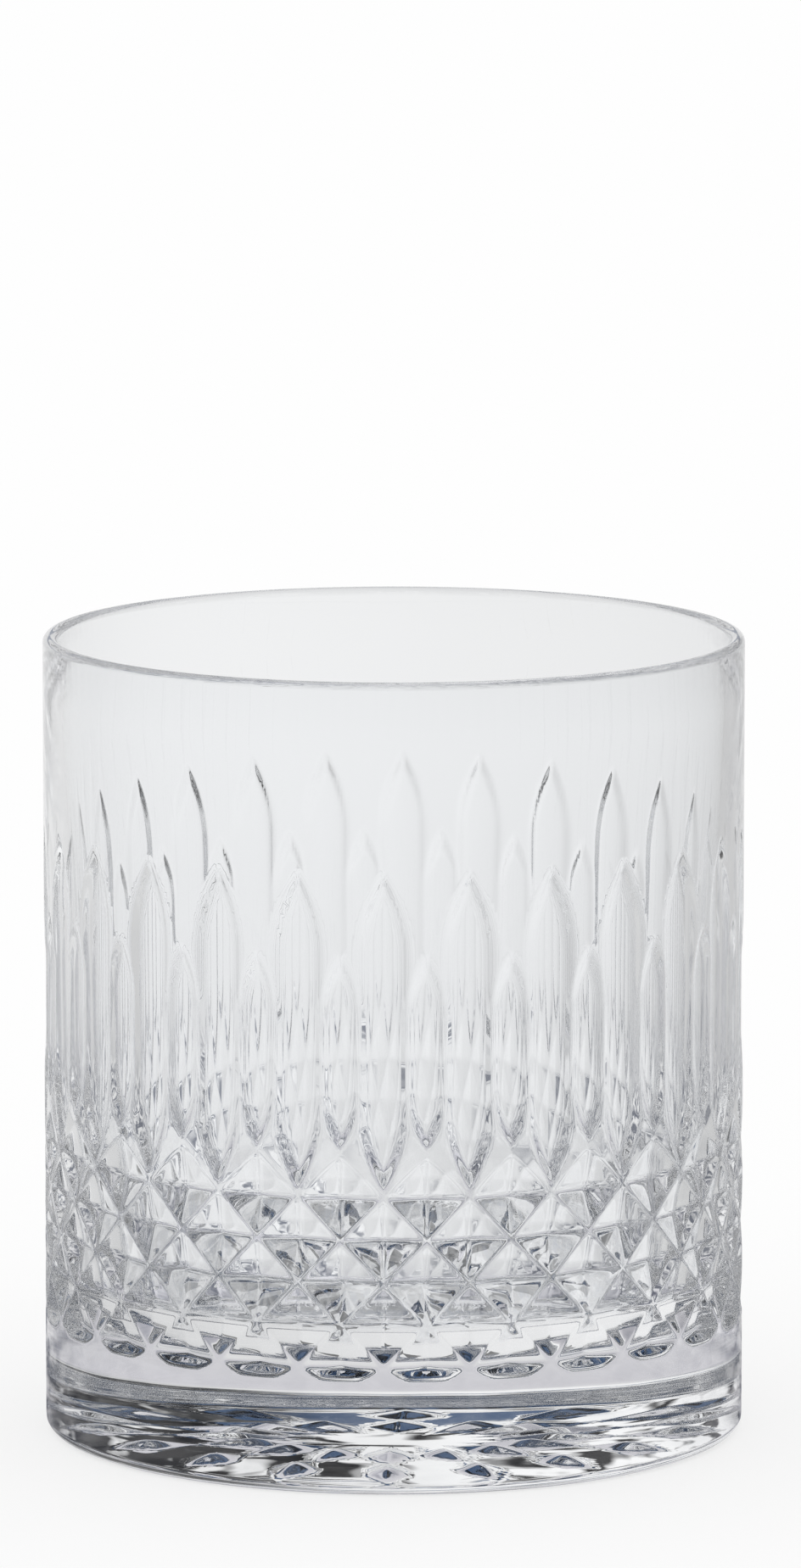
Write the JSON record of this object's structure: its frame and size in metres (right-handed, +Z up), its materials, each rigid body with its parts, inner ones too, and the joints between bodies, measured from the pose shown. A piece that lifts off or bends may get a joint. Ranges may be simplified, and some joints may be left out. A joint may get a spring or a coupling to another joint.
{
  "type": "whiskey tumbler",
  "caption": "Straight-sided glass tumbler with a thick star-cut base, long petal flutes and a band of diamond-shaped hollows, for short drinks.",
  "frame": {"origin": "middle of the foot, on the plane that the glass stands on", "axes": "+Z up along the axis of the glass; the middle of a tall petal lies on +Y and on -Y, and the middle of a short petal on +X and on -X"},
  "size_m": [0.082, 0.082, 0.094],
  "materials": {
    "clear_glass": "clear, polished, with softly rounded cut edges"
  },
  "bodies": {
    "root": {"glass_tumbler": "clear_glass"}
  },
  "joints": []
}
